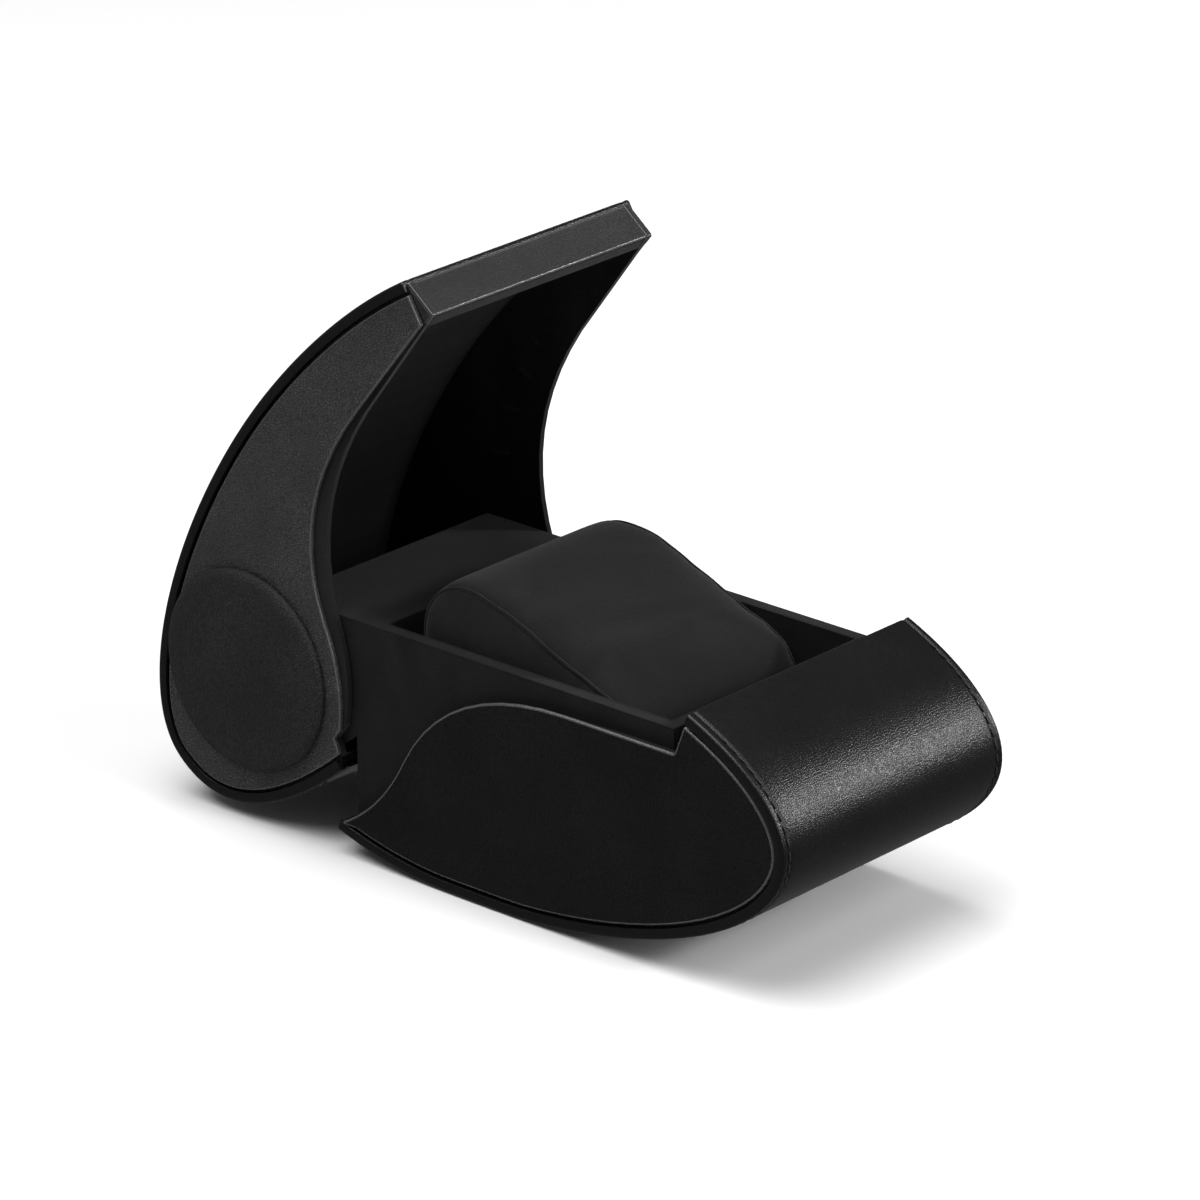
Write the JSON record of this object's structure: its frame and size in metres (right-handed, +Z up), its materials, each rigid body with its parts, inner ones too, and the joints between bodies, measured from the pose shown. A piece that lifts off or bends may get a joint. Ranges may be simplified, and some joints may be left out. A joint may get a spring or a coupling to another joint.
{
  "type": "jewelry box",
  "caption": "Curved leather-covered jewelry box for a single watch: swing-up lid on side pins, suede tray, wedge cushion, magnetic closing lip.",
  "frame": {"origin": "centre of the flat under the base that the box stands on", "axes": "+Z up, -Y towards the closing nose of the base, +Y towards the hinge and the round end of the lid, +X to the right across the box; the lid is open at rest"},
  "size_m": [0.0764, 0.1806, 0.1361],
  "materials": {
    "strip_leather": "satin fine-grained black leather",
    "panel_leather": "matte pebbled black leather",
    "disc_leather": "matte pebbled black leather over a pad",
    "suede": "black microfibre suede",
    "lid_suede": "deep black microfibre suede",
    "cushion_suede": "black suede over foam",
    "board": "bare fibreboard",
    "block": "bare fibreboard",
    "steel": "plain steel",
    "magnet": "nickel-plated magnet",
    "bush": "turned brass",
    "washer": "low-friction plastic"
  },
  "bodies": {
    "base": {"base_cover": "strip_leather", "base_shell_board": "board", "base_side_board_left": "suede", "base_side_board_right": "suede", "base_side_panel_left": "panel_leather", "base_side_panel_right": "panel_leather", "base_end_bar": "block", "base_end_facing": "strip_leather", "base_magnets": "magnet", "tray_wall_left": "suede", "tray_wall_right": "suede", "tray_front_wall": "board", "pocket_rear_wall": "board", "pocket_floor": "board", "shelf_board": "board", "rear_wall_board": "board", "hinge_block_left": "block", "hinge_block_right": "block", "hinge_bush_left": "bush", "hinge_bush_right": "bush", "tray_skin_left": "suede", "tray_skin_right": "suede", "tray_skin_front": "suede", "tray_skin_rear": "suede", "tray_rim_suede": "suede", "pocket_lining": "suede", "watch_cushion": "cushion_suede"},
    "lid": {"lid_cover": "strip_leather", "lid_shell_board": "board", "lid_side_board_left": "lid_suede", "lid_side_board_right": "lid_suede", "lid_side_panel_left": "panel_leather", "lid_side_panel_right": "panel_leather", "lid_side_lining_left": "lid_suede", "lid_side_lining_right": "lid_suede", "lid_lining": "lid_suede", "lid_lip_bar": "block", "lid_lip_facing": "strip_leather", "lid_magnets": "magnet", "padded_disc_left": "disc_leather", "padded_disc_right": "disc_leather", "hinge_pin_left": "steel", "hinge_pin_right": "steel", "hinge_washer_left": "washer", "hinge_washer_right": "washer"}
  },
  "joints": [
    {"name": "lid_hinge", "type": "hinge", "parent": "base", "child": "lid", "pos_m": [0, 0.06, 0.0167], "axis": [1, 0, 0], "range_deg": [0, 51.5]}
  ]
}
